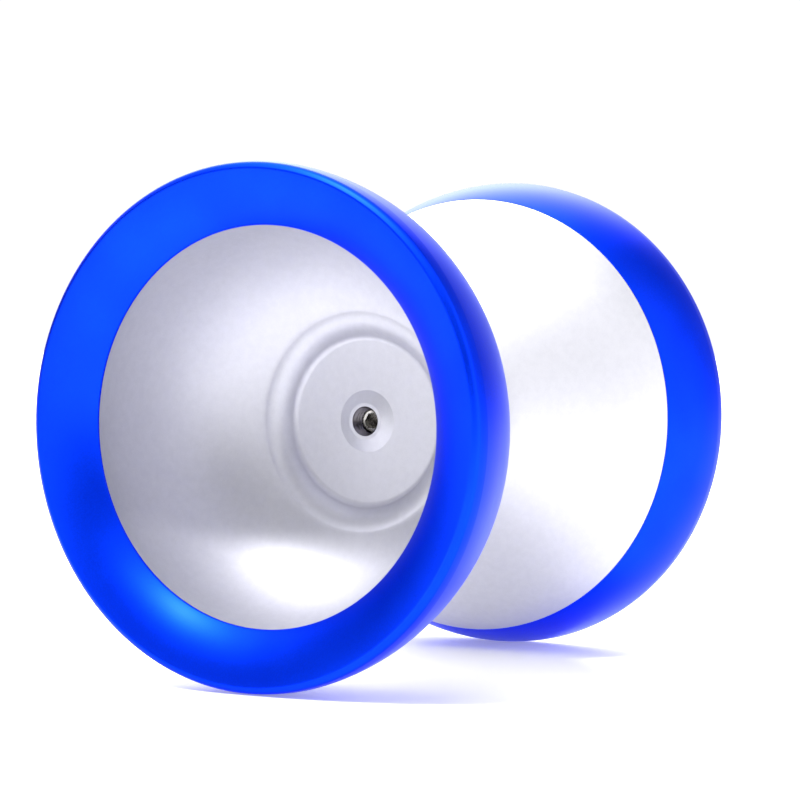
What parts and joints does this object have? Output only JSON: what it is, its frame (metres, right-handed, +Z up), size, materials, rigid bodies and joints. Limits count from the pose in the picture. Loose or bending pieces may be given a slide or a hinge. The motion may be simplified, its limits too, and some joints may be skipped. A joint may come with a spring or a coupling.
{
  "type": "yo-yo",
  "caption": "Wide two-piece metal yo-yo with coloured rim rings on cup-shaped halves that screw together on an axle with a ball bearing.",
  "frame": {"origin": "centre of the bearing, on the axle line, which is the centre of the yo-yo", "axes": "+X along the axle from the left half to the right half, +Z up as the yo-yo rests on its two rims"},
  "size_m": [0.0746, 0.07, 0.07],
  "materials": {
    "silver_aluminium": "fine bead-blasted, clear anodised",
    "blue_aluminium": "satin, blue anodised",
    "white_silicone": "smooth, slightly soft silicone",
    "axle_steel": "turned, lightly oiled",
    "bearing_steel": "ground and polished"
  },
  "bodies": {
    "left_half": {"left_body": "silver_aluminium", "left_rim_ring": "blue_aluminium", "left_response_pad": "white_silicone", "axle_screw": "axle_steel"},
    "clamped_race": {"bearing_inner_race": "bearing_steel"},
    "right_half": {"right_body": "silver_aluminium", "right_rim_ring": "blue_aluminium", "right_response_pad": "white_silicone"},
    "free_race": {"bearing_outer_race": "bearing_steel", "left_shield": "bearing_steel", "right_shield": "bearing_steel", "left_shield_clip": "bearing_steel", "right_shield_clip": "bearing_steel"},
    "ball_carrier": {"bearing_cage": "bearing_steel", "bearing_ball_01": "bearing_steel", "bearing_ball_02": "bearing_steel", "bearing_ball_03": "bearing_steel", "bearing_ball_04": "bearing_steel", "bearing_ball_05": "bearing_steel", "bearing_ball_06": "bearing_steel", "bearing_ball_07": "bearing_steel", "bearing_ball_08": "bearing_steel", "bearing_ball_09": "bearing_steel", "bearing_ball_10": "bearing_steel"}
  },
  "joints": [
    {"name": "right_half_unscrew", "type": "hinge", "parent": "left_half", "child": "clamped_race", "pos_m": [0, 0, 0], "axis": [1, 0, 0], "range_deg": [0, 1080]},
    {"name": "right_half_travel", "type": "slide", "parent": "clamped_race", "child": "right_half", "axis": [1, 0, 0], "range_m": [0, 0.0021]},
    {"name": "outer_race_spin", "type": "hinge", "parent": "clamped_race", "child": "free_race", "pos_m": [0, 0, 0], "axis": [1, 0, 0], "continuous": true},
    {"name": "cage_orbit", "type": "hinge", "parent": "clamped_race", "child": "ball_carrier", "pos_m": [0, 0, 0], "axis": [1, 0, 0], "continuous": true}
  ],
  "couplings": [
    {"joint": "right_half_travel", "follows": "right_half_unscrew", "m_per_rad": 0.00011141},
    {"joint": "cage_orbit", "follows": "outer_race_spin", "ratio": 0.58336}
  ]
}
